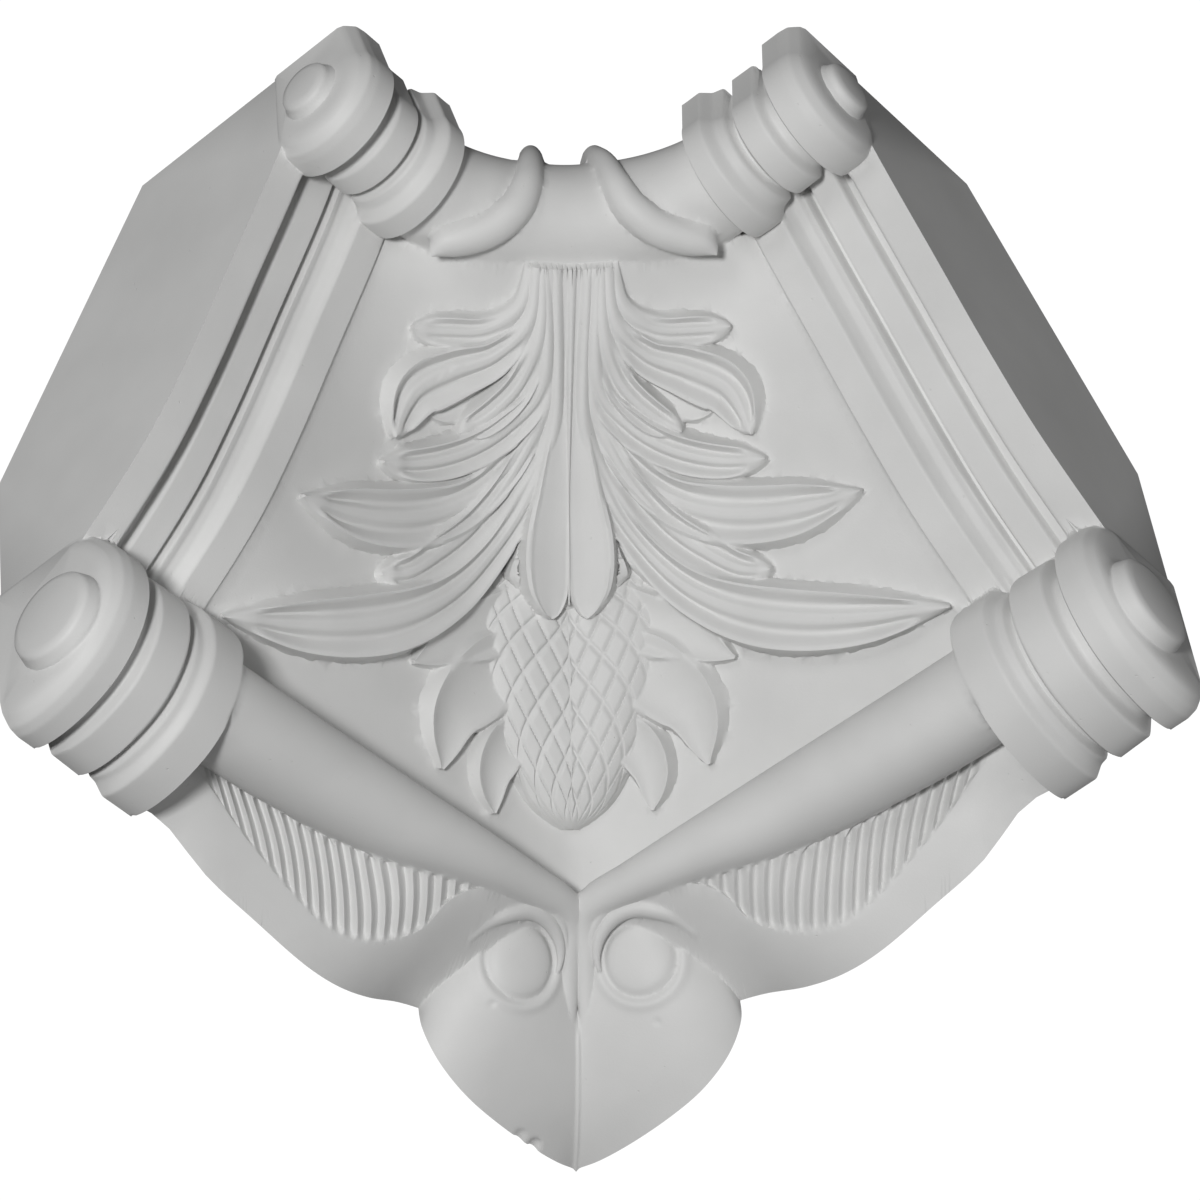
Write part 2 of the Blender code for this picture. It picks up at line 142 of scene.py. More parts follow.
def rounded(points, x, radius):
    """The straight-line value with its corners softened over a radius."""
    steps = evenly(-radius, radius, 7)
    weights = [math.cos(math.pi / 2 * s / (radius * 1.2)) for s in steps]
    return sum(w * between(points, x + s) for w, s in zip(weights, steps)) / sum(weights)


def smooth_step(a, b, x):
    u = min(1.0, max(0.0, (x - a) / (b - a)))
    return u * u * (3 - 2 * u)


print("a softened corner:", round(rounded([(0, 0), (1, 0), (2, 1)], 1.0, 0.5), 3))

# %% [markdown]
# ## Two ways to make a form
#
# Everything on the block is one of two things. A `sheet` is a flat grid that is bent into place and then
# carried back into the corner, which gives it a body. A `rolled` form is a grid whose two long edges are
# sewn together into a tube, with its ends filled. Both start from Blender's own grid, so the faces come in
# clean rows.

# %% Helpers that make forms
parts = {}
SAME_POINT_MM = 0.0005


def finished(name, bm, group):
    """Turns the faces outwards and puts the form into a group of forms to be joined."""
    bmesh.ops.recalc_face_normals(bm, faces=bm.faces[:])
    bmesh.ops.scale(bm, vec=(MM, MM, MM), verts=bm.verts[:])
    mesh = bpy.data.meshes.new(name)
    bm.to_mesh(mesh)
    bm.free()
    made = bpy.data.objects.new(name, mesh)
    group.objects.link(made)
    parts[name] = len(mesh.polygons)
    return made


def bent_grid(across, down, place):
    """A grid with one vertex at place(a, b) for each pair of values."""
    bm = bmesh.new()
    columns, rows = len(across) - 1, len(down) - 1
    bmesh.ops.create_grid(bm, x_segments=columns, y_segments=rows, size=1.0)
    for vert in bm.verts:
        i = round((vert.co.x + 1) / 2 * columns)
        j = round((vert.co.y + 1) / 2 * rows)
        vert.co = place(across[i], down[j])
    return bm


def sheet(name, across, down, place, back, group):
    """A bent grid carried back into the corner as a solid. The way back differs a little from sheet to sheet,
    so that their sides don't lie in one plane."""
    bm = bent_grid(across, down, place)
    carried = bmesh.ops.extrude_face_region(bm, geom=bm.faces[:])["geom"]
    bmesh.ops.translate(bm, vec=back, verts=[v for v in carried if isinstance(v, bmesh.types.BMVert)])
    return finished(name, bm, group)


def rolled(name, rings, group):
    """A tube through rings of equal point count, sewn along its length and filled at both ends."""
    around, along = len(rings[0]), len(rings)
    bm = bent_grid(list(range(around + 1)), list(range(along)), lambda i, j: rings[j][i % around])
    bmesh.ops.remove_doubles(bm, verts=bm.verts[:], dist=SAME_POINT_MM)
    ends = [edge for edge in bm.edges if edge.is_boundary]
    bmesh.ops.holes_fill(bm, edges=ends, sides=0)
    return finished(name, bm, group)


def group_of(name):
    group = bpy.data.collections.new(name)
    bpy.context.scene.collection.children.link(group)
    group.hide_render = True
    group.hide_viewport = True
    return group


slabs = group_of("slabs")
carved = group_of("carved")
cutters = group_of("cutters")
print("groups ready:", slabs.name, carved.name, cutters.name)

# %% [markdown]
# ## The outer bands
#
# The face of the block slopes from the ceiling back to the wall, and its outer part is worked into bands: a
# flat fillet beside the panel, a small bead between two grooves, a second fillet, a cove and the wide outer
# band. The profile is drawn once, as points across the arm, and follows the slope of the front.

# %% Bands
FRONT = ((6, 168), (-20, 157), (-42, 145), (-80, 119.5), (-117, 94.3), (-143, 72.7), (-171, 38.6), (-205, -8))
BANDS = (
    (236, -24), (238, -22), (240.8, -7), (241.6, -2.5), (254.6, -2.5), (256, -5), (258.5, -8.2),
    (261.4, -9.6), (263.2, -8.8), (265, -8.6), (265.8, -14), (267.6, -14), (268.4, -7.6), (279.2, -8.6),
    (280.4, -14), (284.6, -14), (286.2, -1.5), (287.2, 0), (300, 0), (420, 0),
)


def make_bands():
    across = evenly(236, 290, 100) + [296, 302, 330, 420]

    def place(d, z):
        return arm(d, mix(FRONT, z) + rounded(BANDS, d, 0.6), z)

    return sheet("bands", across, evenly(6, -205, 46), place, Vector((0, 221, 245)), slabs)


body = make_bands()
print("bands:", parts["bands"], "faces")

# %% [markdown]
# ## The hollow panel
#
# Between the arms the block is scooped out, deepest in the middle. A point of the panel is named by s, from
# the middle to the inner band, and v, from top to bottom. Every leaf is later laid out in s and v, as a
# carver draws on the bare surface first, so the panel also gives its own normal and can measure a distance
# along itself.

# %% Panel
HOLLOW = ((-266, -49.5), (-205, -72), (-150, -102), (-115, -138), (-90, -172), (-76, -198))
PANEL_TOP, PANEL_BOTTOM = -36.0, -178.0
PANEL_EDGE, PANEL_STEP, PANEL_BEND = 241.5, 5.0, 1.5


def panel_point(s, v):
    """s runs from the middle (0) to the inner band (1), v from top (0) to bottom (1)."""
    z_edge = PANEL_TOP + (PANEL_BOTTOM - PANEL_TOP) * v
    edge = arm(PANEL_EDGE, mix(FRONT, z_edge) - PANEL_STEP, z_edge)
    y, z = mix_rows(HOLLOW, v)
    k = 1 - abs(s) ** PANEL_BEND
    return Vector((edge.x * s, edge.y + (y + CORNER_Y - edge.y) * k, edge.z + (z - edge.z) * k))


def panel_frame(s, v):
    """The panel point with its two directions and the normal towards the room."""
    step = 0.004
    point = panel_point(s, v)
    along_s = (panel_point(s + step, v) - panel_point(s - step, v)) / (2 * step)
    along_v = (panel_point(s, v + step) - panel_point(s, v - step)) / (2 * step)
    normal = along_s.cross(along_v).normalized()
    return point, along_s, along_v, -normal if normal.y > 0 else normal


def panel_offset(s, v, shift):
    """The panel place a given shift (a vector) away from s, v."""
    _, along_s, along_v, _ = panel_frame(s, v)
    ss, sv, vv = along_s.dot(along_s), along_s.dot(along_v), along_v.dot(along_v)
    bs, bv = along_s.dot(shift), along_v.dot(shift)
    det = ss * vv - sv * sv
    return s + (bs * vv - bv * sv) / det, v + (bv * ss - bs * sv) / det


def make_panel():
    across = [-0.06] + evenly(0.0, 1.0, 34) + [1.12]
    down = [-0.3, -0.12, -0.02] + evenly(0.0, 1.0, 44) + [1.12]

    def place(s, v):
        if s > 1:
            z = PANEL_TOP + (PANEL_BOTTOM - PANEL_TOP) * v
            return arm(PANEL_EDGE + 14, mix(FRONT, z) - PANEL_STEP - 12, z)
        if v >= -0.02:
            return panel_point(s, max(v, 0.0)) + Vector((0, 0, 1.5 if v < 0 else 0))
        return panel_point(s, 0.0) + Vector((0, 9 if v > -0.2 else 34, 10 if v > -0.2 else 60))

    return sheet("panel", across, down, place, Vector((3, 214, 231)), slabs)


make_panel()
print("middle of the panel:", tuple(round(c) for c in panel_point(0, 0.5)))

# %% [markdown]
# ## The leaves
#
# Each leaf is a bundle of strands that rise from under the top roll and curl out over the panel. A strand
# is a tube laid along a smooth line: flat below, where it sinks into the panel, and ribbed above, because
# the real leaves carry two or three fine ridges along their length. The lower edge is steeper than the
# upper one, which is what makes the dark line under each leaf.

# %% Strands of the leaves
# Each row: across the panel (0 to 1), down the panel (0 to 1), half width and rise in millimetres.
STRANDS = {
    "top_small": (
        (0.215, 0.0, 3, 1.5), (0.26, 0.05, 4, 5), (0.42, 0.095, 6, 5.5), (0.6, 0.125, 6.8, 5.5),
        (0.765, 0.157, 5, 4),
    ),
    "top_large": (
        (0.185, 0.0, 3, 2.5), (0.215, 0.065, 4.5, 6.5), (0.37, 0.125, 8, 7), (0.56, 0.18, 11.5, 7),
        (0.7, 0.25, 12, 6), (0.745, 0.35, 7, 4),
    ),
    "top_inner": (
        (0.155, 0.0, 3, 2.5), (0.16, 0.075, 4.5, 7), (0.235, 0.14, 7, 8), (0.36, 0.2, 8, 8),
        (0.51, 0.262, 6.5, 6),
    ),
    "middle_small": (
        (0.14, 0.0, 3, 2.5), (0.12, 0.096, 4, 7.5), (0.16, 0.155, 6, 8), (0.3, 0.215, 8, 8),
        (0.52, 0.3, 8.5, 7.5), (0.66, 0.36, 7.5, 6), (0.765, 0.408, 4.5, 4),
    ),
    "middle_large": (
        (0.115, 0.0, 3, 2.5), (0.1, 0.14, 4.5, 7), (0.19, 0.21, 6, 7.5), (0.38, 0.31, 9.5, 8),
        (0.59, 0.42, 13.5, 7.5), (0.79, 0.53, 12, 6), (0.945, 0.615, 5, 4),
    ),
    "middle_inner": (
        (0.13, 0.18, 4, 7), (0.25, 0.26, 6.5, 8), (0.4, 0.36, 8.5, 8.5), (0.53, 0.46, 9.5, 8),
        (0.62, 0.54, 8, 7), (0.69, 0.585, 5, 4),
    ),
    "low_large": (
        (0.085, 0.0, 2.5, 2.5), (0.065, 0.117, 3.5, 7.5), (0.085, 0.2, 5, 9), (0.2, 0.29, 6, 9.5),
        (0.345, 0.395, 7.5, 9.5), (0.49, 0.52, 10.5, 9), (0.66, 0.66, 14, 8), (0.83, 0.79, 11.5, 6),
        (0.97, 0.885, 5, 4),
    ),
}
BROAD = {
    "side_leaf_top": (
        (0.14, 0.4, 8, 7), (0.27, 0.48, 14, 7.5), (0.42, 0.56, 12, 6.5), (0.54, 0.665, 2.5, 4),
    ),
    "side_leaf_middle": (
        (0.17, 0.5, 12, 7), (0.31, 0.585, 17.5, 7.5), (0.4, 0.69, 14, 6), (0.405, 0.8, 2.5, 4),
    ),
    "side_leaf_low": (
        (0.15, 0.62, 8, 5), (0.23, 0.68, 11, 6.5), (0.26, 0.745, 9, 5.5), (0.24, 0.815, 2, 3.5),
    ),
    "web_top": (
        (0.17, 0.02, 5, 2), (0.25, 0.1, 9, 4.5), (0.4, 0.17, 12, 5), (0.54, 0.22, 10, 4), (0.64, 0.26, 6, 2),
    ),
    "web_low": (
        (0.1, 0.1, 5, 4), (0.17, 0.25, 10, 6), (0.32, 0.36, 14, 6), (0.5, 0.48, 15, 5), (0.64, 0.57, 8, 2),
    ),
}
PETAL = (
    (0.03, 0.0, 3.5, 2.5), (0.03, 0.16, 4.5, 9), (0.06, 0.25, 8, 13), (0.105, 0.33, 11, 16.5),
    (0.118, 0.39, 11.2, 18), (0.12, 0.445, 7, 17.5),
)
SPINE = (
    (0, 0.0, 1.6, 2.5), (0, 0.15, 1.7, 9.5), (0, 0.25, 1.8, 13.5), (0, 0.34, 1.8, 17.5), (0, 0.41, 1.6, 18.5),
)
NECK = (
    (0, 0.1, 5, 6), (0, 0.2, 10, 10), (0, 0.28, 15, 13), (0, 0.35, 21, 15), (0, 0.4, 26, 15.5),
    (0, 0.435, 26, 9),
)
UNDER_ROLL = Vector((0, 2, 12))
CORD_HALF, LEAF_HALF = 4.6, 7.5
HOLLOW_SHARE, HOLLOW_MOST = 0.44, 4.4
RIM_FROM, RIM_TO = 0.58, 0.76
RISE_GAIN = 1.2


def edge_fall(u):
    """A strand drops steeply at its lower edge (-1) and softly at its upper edge (1)."""
    return 0.35 + 0.65 * smooth_step(1.0, 0.74, u) * smooth_step(-1.0, -0.88, u)


def leaf_profile(u, half, rise):
    """A round cord where the strand is narrow. Where it is wide, two hollows lie between a ridge and two
    rims."""
    hollow = 0.5 - 0.5 * math.cos(2 * math.pi * (u + 0.74) / 0.74)
    hollow = max(hollow, 0.4) * smooth_step(-RIM_TO, -RIM_FROM, u) * smooth_step(RIM_TO, RIM_FROM, u)
    wide = smooth_step(CORD_HALF, LEAF_HALF, half)
    rise *= RISE_GAIN
    cord = (1 - wide) * 0.5 * rise * u * u
    return rise * edge_fall(u) - wide * min(HOLLOW_MOST, HOLLOW_SHARE * half) * hollow - cord


def broad_profile(u, half, rise):
    """A leaf without ridges: one wide hollow inside a rim."""
    return rise * edge_fall(u) - min(3.0, 0.22 * half) * max(0.0, 1 - (u / 0.78) ** 2)


def petal_profile(u, half, rise):
    """A petal is nearly flat, with a thin raised rim."""
    return rise * (1 - 0.06 * u ** 4) + 0.6 * math.exp(-((abs(u) - 0.84) / 0.09) ** 2) - 0.9 * (1 - u * u)


def round_profile(u, half, rise):
    return rise * (1 - 0.3 * u * u)


# How deep a strand's underside lies in the panel, in nine steps that come round again.
SINK, SINK_STEP, SINK_STEPS = 3.6, 0.31, 9
TIP_FROM, TIP_SHARE, TIP_HALF = 0.84, 0.16, 0.8


def make_strand(name, line, profile):
    """The last sixth of a strand closes to a blunt tip. Neighbours are sunk to different depths, so that
    their undersides don't lie in one plane."""
    sink = SINK + SINK_STEP * (len(parts) % SINK_STEPS)
    around = 28
    stations = len(line) * 8
    rings = []
    for tau in evenly(0.0, 1.0, stations):
        s, v, half, rise = mix_rows(line, tau)
        s2, v2, _, _ = mix_rows(line, tau + 0.02)
        point, _, _, normal = panel_frame(s, v)
        across = normal.cross(panel_point(s2, v2) - point).normalized()
        half = max(half * math.sqrt(max(0.0, 1 - max(0.0, (tau - TIP_FROM) / TIP_SHARE) ** 2)), TIP_HALF)
        top, feet = [], []
        for u in evenly(-1.0, 1.0, around):
            foot, _, _, up = panel_frame(*panel_offset(s, v, across * (half * u)))
            top.append(foot + up * profile(u, half, rise))
            feet.append(foot - up * sink)
        rings.append(top + [feet[-1], feet[0]])
    if line[0][1] == 0:
        rings.insert(0, [point + UNDER_ROLL * (1 + line[0][0]) for point in rings[0]])
    return rolled(name, rings, carved)


for strand_name, strand_line in STRANDS.items():
    make_strand(strand_name, strand_line, leaf_profile)
for leaf_name, leaf_line in BROAD.items():
    make_strand(leaf_name, leaf_line, broad_profile)
make_strand("petal", PETAL, petal_profile)
make_strand("spine", SPINE, round_profile)
make_strand("neck", NECK, round_profile)
print("strands and leaves:", sum(parts.values()) - parts["bands"] - parts["panel"], "faces")

# %% [markdown]
# ## The cone with scales
#
# The cone is a half-round bulge that narrows to the bottom. Its skin is cut into diamonds by two sets of
# fine grooves that cross each other. The diamonds get narrower towards the tip, because the number of
# grooves round the cone stays the same, so the grooves are counted by angle round the cone and by length
# down it.

# %% Cone
# Each row: down the panel (0 to 1), half width, how far the cone is sunk into the panel.
CONE = (
    (0.37, 20, 9), (0.4, 27, 2), (0.43, 31, 0), (0.47, 34, 0), (0.53, 35, 0), (0.6, 33, 0), (0.67, 28.5, 0),
    (0.73, 21.5, 0), (0.765, 14, 0), (0.785, 4, 1),
)
CONE_RISE = 15.0
SCALES_ROUND, SCALE_LENGTH, SCALE_DEPTH = 9, 17.0, 1.3
GROOVE_SHARE = 0.13


def scale_groove(turn, length):
    """Depth from 0 to 1 of the two sets of grooves at a place of the cone."""
    deep = 0.0
    for lean in (-1, 1):
        phase = (turn * SCALES_ROUND + lean * length / SCALE_LENGTH) % 1.0
        deep = max(deep, 1 - min(phase, 1 - phase) / GROOVE_SHARE)
    return deep


def make_cone():
    """The grid has whole steps to a scale, so both sets of grooves run evenly across it."""
    steps = 16
    tip = panel_point(0, CONE[-1][0])
    lengths = [((tip - panel_point(0, v)).length, v) for v in evenly(CONE[-1][0], CONE[0][0], 24)]
    columns = round(0.66 * SCALES_ROUND * steps)
    rings = []
    for row in range(int(lengths[-1][0] / SCALE_LENGTH * steps)):
        length = row * SCALE_LENGTH / steps
        v = mix(lengths, length)
        half = max(mix([(line[0], line[1]) for line in CONE], v), 2.5)
        sunk = max(mix([(line[0], line[2]) for line in CONE], v), 0.0)
        girth = (half / 35) ** 0.7
        ring = []
        for column in range(-columns, columns):
            turn = (column + 0.5) / (SCALES_ROUND * steps)
            angle = math.pi * (0.5 - turn)
            foot, _, _, up = panel_frame(*panel_offset(0.0, v, Vector((half * math.cos(angle), 0, 0))))
            rise = CONE_RISE * girth * math.sin(angle)
            if rise > 0.5:
                rise -= SCALE_DEPTH * scale_groove(turn, length) * smooth_step(0.0, 8.0, length)
            ring.append(foot + up * (rise - sunk))
        foot, _, _, up = panel_frame(0.0, v)
        rings.append(ring + [foot - up * (9 + sunk)])
    return rolled("cone", rings, carved)


make_cone()
print("cone:", parts["cone"], "faces")

# %% [markdown]
# ## The fluted leaf under the lower roll
#
# Under each lower roll hangs a smooth leaf that meets the wall in a wavy line. Its upper part is cut into
# narrow flutes that lean towards the corner and all stop along one curved line. The columns of the grid
# follow the ribs, so each flute is a clean cosine wave across a few columns.

# %% Fluted leaf
# Each row: length along the arm, then the top line's distance from the wall and height, and the wall line's
# height.
LEAF = (
    (262, 21, -213, -226), (236, 20.5, -212.5, -227), (221, 21, -212, -226), (200, 22.5, -210.5, -238),
    (175, 29, -212.5, -244), (147, 37, -215, -249), (131, 45.5, -214.5, -248), (115, 51.5, -214, -243),
    (97, 55, -212, -234), (84, 55, -210, -229), (60, 54, -205, -222),
)
FLUTES, FLUTE_DEPTH = 23, 3.0
FLUTES_FROM, FLUTES_TO, FLUTE_LEAN = 90.0, 222.0, 33.0
FLUTE_ROWS, SMOOTH_ROWS = 0.62, 0.38
FLUTES_END = (
    (60, 0.06), (88, 0.08), (98, 0.16), (106, 0.29), (113, 0.47), (125, 0.61), (145, 0.72), (168, 0.69),
    (190, 0.51), (214, 0.13), (224, 0.05), (262, 0.05),
)


INTO_LEAF = Vector((0, 0.67, 0.742))


def leaf_place(d, p):
    """p runs from the leaf's top line (0) to the wall (1); below 0 it is inside the roll."""
    t_top, z_top, z_wall = (mix([(row[0], row[k]) for row in LEAF], d) for k in (1, 2, 3))
    if p < 0:
        reach = 4 + 0.085 * (d - 60)
        return arm(d, t_top - 0.4 * reach * p, z_top - 0.8 * reach * p)
    bulge = 3.0 * math.sin(math.pi * min(p, 1.0))
    return arm(d, t_top * (1 - p) + bulge * 0.6, z_top + (z_wall - z_top) * p - bulge * 0.4)


def make_leaf():
    pitch = (FLUTES_TO - FLUTES_FROM) / FLUTES
    columns = 8
    ribs = [FLUTES_FROM + pitch * i / columns for i in range(columns * FLUTES + 1)]
    across = evenly(60, 86, 7) + ribs + evenly(226, 262, 8)
    down = [-1.0, -0.5, -0.04, 0.02] + evenly(0.06, 0.54, 10)
    down += [0.57, 0.595, 0.62, 0.66, 0.72, 0.8, 0.9, 1.0, 1.12]

    def place(d, w):
        lean = FLUTE_LEAN * min(1.0, (d - 60) / 45, (262 - d) / 45)
        end = mix(FLUTES_END, d - lean * 0.5)
        p = w
        if w >= FLUTE_ROWS:
            p = end + (w - FLUTE_ROWS) / SMOOTH_ROWS * (1 - end)
        elif w >= 0:
            p = w / FLUTE_ROWS * end
        wave = 0.0
        if FLUTES_FROM <= d <= FLUTES_TO:
            wave = (0.5 - 0.5 * math.cos(2 * math.pi * (d - FLUTES_FROM) / pitch)) ** 0.8
        cut = FLUTE_DEPTH * wave * smooth_step(-0.06, 0.02, w) * (1 - smooth_step(0.55, 0.6, w))
        return leaf_place(d - lean * max(p, 0.0), p) + INTO_LEAF * cut

    return sheet("fluted_leaf", across, down, place, Vector((1, 204, 216)), slabs)


make_leaf()
print("fluted leaf:", parts["fluted_leaf"], "faces,", FLUTES, "flutes")

# %% [markdown]
# ## The tail in the corner
#
# Below the rolls the block ends in a pointed tail that fills the corner of the walls. Each half is one
# curved patch held by four lines: the roll above, the ridge beside the fluted leaf, the edge on the wall
# and the seam in the middle. Near the roll each half carries a round eye in a shallow ring.

# %% Tail and eye
RIDGE = ((90, 53, -206), (84, 41, -207.5), (86.5, 26, -213), (87.5, 10, -219.5), (85, -1.5, -227))
MIDDLE = ((54, 54, -200), (43, 43, -217), (31, 31, -236), (15.5, 15.5, -251), (-1.5, -1.5, -260))
TAIL_EDGE = (
    (-1.5, -1.5, -260), (22, -1.5, -263), (44, -1.5, -263), (62, -1.5, -260), (76, -1.5, -252),
    (84, -1.5, -240), (85, -1.5, -227),
)
EYE_D, EYE_T, EYE_Z, EYE_R = 68.6, 37.5, -221, 14.0


def tail_place(q, p):
    """q from the middle (0) to the ridge (1), p from the rolls (0) to the wall (1)."""
    ridge = Vector(mix_rows(RIDGE, p))
    middle = Vector(mix_rows(MIDDLE, p))
    edge = Vector(mix_rows(TAIL_EDGE, q))
    top = Vector(MIDDLE[0]).lerp(Vector(RIDGE[0]), q)
    corners = (Vector(MIDDLE[0]) * (1 - q) + Vector(RIDGE[0]) * q) * (1 - p)
    corners += (Vector(MIDDLE[-1]) * (1 - q) + Vector(RIDGE[-1]) * q) * p
    return arm(*(top * (1 - p) + edge * p + middle * (1 - q) + ridge * q - corners))


EYE = arm(EYE_D, EYE_T, EYE_Z)
ROOMWARD = Vector((-0.34, -0.71, -0.61)).normalized()


def eye_height(distance):
    """A shallow dome in a groove with a soft rim, by distance from its middle."""
    dome = 1.6 * max(0.0, 1 - (distance / EYE_R) ** 4)
    groove = 0.9 * math.exp(-((distance - EYE_R) / 1.5) ** 2)
    rim = 0.9 * math.exp(-((distance - EYE_R - 3.2) / 2.0) ** 2)
    return dome - groove + rim


def seam_height(x, p):
    """The seam in the middle: a sharp groove beside the curls, then a thin raised line down to the tip."""
    near = math.exp(-(x / 0.7) ** 2)
    return near * (1.3 * smooth_step(0.38, 0.5, p) - 1.6 * smooth_step(0.42, 0.3, p))


def make_tail():
    across = [-0.1, -0.02] + evenly(0.0, 0.03, 8) + evenly(0.045, 1.0, 84)

    def place(q, p):
        point = tail_place(q, p) + Vector((0, 0, 1.6)) * p ** 6 * math.exp(-(q / 0.05) ** 2)
        return point + ROOMWARD * (eye_height((point - EYE).length) + seam_height(point.x, p))

    return sheet("tail", across, evenly(0.0, 1.0, 78), place, Vector((-2, 190, 208)), slabs)


def make_curl(name, line):
    """A tapering cord that winds over the eye; each row: angle in degrees, distance, radius, height."""
    sideways = Vector((1, 0, 0)) - ROOMWARD * ROOMWARD.x
    sideways.normalize()
    upward = sideways.cross(ROOMWARD)
    upward = upward if upward.z > 0 else -upward
    rings = []
    for tau in evenly(0.0, 1.0, 40):
        angle, distance, radius, height = mix_rows(line, tau)
        outward = sideways * math.cos(math.radians(angle)) + upward * math.sin(math.radians(angle))
        centre = EYE + outward * distance + ROOMWARD * height
        turns = [2 * math.pi * i / 20 for i in range(20)]
        rings.append([centre + (outward * math.cos(a) + ROOMWARD * math.sin(a)) * radius for a in turns])
    return rolled(name, rings, carved)


make_tail()
CURL_LOW = (
    (20, 24, 2.5, 1), (58, 20, 3.8, 5), (98, 18.5, 3.6, 5), (140, 17, 2.6, 2.6), (195, 16, 0.8, -1.6),
)
CURL_HIGH = (
    (36, 30, 2.4, 4), (62, 27, 3, 7.5), (92, 24, 2.8, 7.5), (125, 21.5, 2.2, 5), (168, 18.6, 0.7, 0.4),
)
make_curl("curl_low", CURL_LOW)
make_curl("curl_high", CURL_HIGH)
print("tail:", parts["tail"], "faces")

# %% [markdown]
# ## The rolls
#
# The top roll runs round the corner in a bow and ends in a turned bundle of discs on each arm. Discs are a
# profile along the roll: the grooves are where the profile drops. A cross strap on each side of the middle
# ties the roll.

# %% Top roll
TOP_T, TOP_Z, TOP_BEND = 163.7, -26.1, 85.7
TOP_DISCS = (
    (302, 17), (300.8, 21.5), (297, 24.8), (293, 25.4), (284.4, 25.4), (283.6, 16.8), (279, 16.8),
    (276.5, 20.6), (266.4, 20.8), (265.2, 16.4), (263.4, 16.4), (262.2, 20.2), (258, 21.4), (254.4, 25.2),
    (244.4, 25.2), (243.6, 19.8),
)
TOP_SHAFT = ((72, 19.8), (58, 20.4), (40, 21.4), (20, 22.3), (0, 22.5), (-6, 22.5))
TOP_CROWN = ((0.76, 1.35), (-0.8, 1.35))


def roll_place(length):
    """Point and direction to the room of the top roll, by length from the middle plane."""
    bend = TOP_BEND * math.pi / 4
    if length <= bend:
        angle = length / TOP_BEND
        y = CORNER_Y - (2 * TOP_T + TOP_BEND) / ROOT2 - TOP_BEND / ROOT2 + TOP_BEND * math.cos(angle)
        room = Vector((-math.sin(angle), -math.cos(angle), 0))
        return Vector((TOP_BEND * math.sin(angle), y, TOP_Z + 1.6 * math.cos(angle * 2))), room
    return arm(TOP_T + TOP_BEND + length - bend, TOP_T, TOP_Z), arm(0, 1, 0) - arm(0, 0, 0)


def disc_stations(discs, step):
    """Close stations along a bundle of discs, from the end face inwards."""
    first, last = discs[0][0], discs[-1][0]
    return evenly(first, last, int(abs(first - last) / step) + 1)


def make_top_roll():
    bend = TOP_BEND * math.pi / 4
    up = Vector((0, 0, 1))
    around = 46
    rings = []
    for d in disc_stations(TOP_DISCS, 0.7):
        radius = rounded(TOP_DISCS, d, 0.6)
        centre, room = roll_place(d - TOP_T - TOP_BEND + bend)
        outline = [(math.cos(math.radians(a)), math.sin(math.radians(a))) for a in evenly(-150, 20, around)]
        rings.append([centre + (room * x + up * y) * radius for x, y in outline + list(TOP_CROWN)])
    rolled("top_discs", rings, carved)
    rings = []
    for length in evenly(72, -6, 30):
        centre, room = roll_place(length)
        radius = mix(TOP_SHAFT, length)
        angles = [2 * math.pi * i / 64 for i in range(64)]
        rings.append([centre + (room * math.cos(a) + up * math.sin(a)) * radius for a in angles])
    rolled("top_roll", rings, carved)


make_top_roll()
print("top discs:", parts["top_discs"], "faces; top roll:", parts["top_roll"], "faces")

# %% [markdown]
# The strap is a soft cord, pressed on the roll: round on top and sunk below. It starts above the middle,
# crosses the roll down and outwards, and lies out flat on the panel.

# %% Strap
STRAP = (
    (11.6, -279.5, 9, 4.4), (12.3, -287.5, -2.5, 4.8), (14, -294.3, -16, 5.2), (16.5, -296.3, -31.5, 5.8),
    (21.5, -291.8, -44, 6.8), (30.5, -284.5, -51, 7.2), (42, -279, -54, 6.8), (53, -275, -53.5, 5.6),
)
STRAP_RISE = 6.5


def make_strap():
    rings = []
    for tau in evenly(0.0, 1.0, 36):
        x, y, z, half = mix_rows(STRAP, tau)
        x2, y2, z2, _ = mix_rows(STRAP, tau + 0.01)
        half *= math.sqrt(max(0.06, 1 - max(0.0, (tau - 0.9) / 0.1) ** 2))
        ridge = Vector((x, y + CORNER_Y, z))
        along = (Vector((x2, y2 + CORNER_Y, z2)) - ridge).normalized()
        centre, _ = roll_place(x * 1.05)
        out = ridge - centre
        out = (out - along * out.dot(along)).normalized()
        across = out.cross(along)
        ring = []
        for u in evenly(-1.0, 1.0, 15):
            drop = STRAP_RISE * (1 - math.sqrt(max(0.0, 1 - abs(u) ** 2)))
            ring.append(ridge + across * half * u - out * drop)
        rings.append(ring + [ridge + across * half * u - out * 15 for u in (1.0, -1.0)])
    return rolled("strap", rings, carved)


make_strap()
print("strap:", parts["strap"], "faces")

# %% [markdown]
# The lower roll is a bundle of discs too, but its section isn't round: it is pressed flat below and leans
# back up along the band. Its shaft tapers towards the corner and ends in a curl beside the seam of the
# tail.

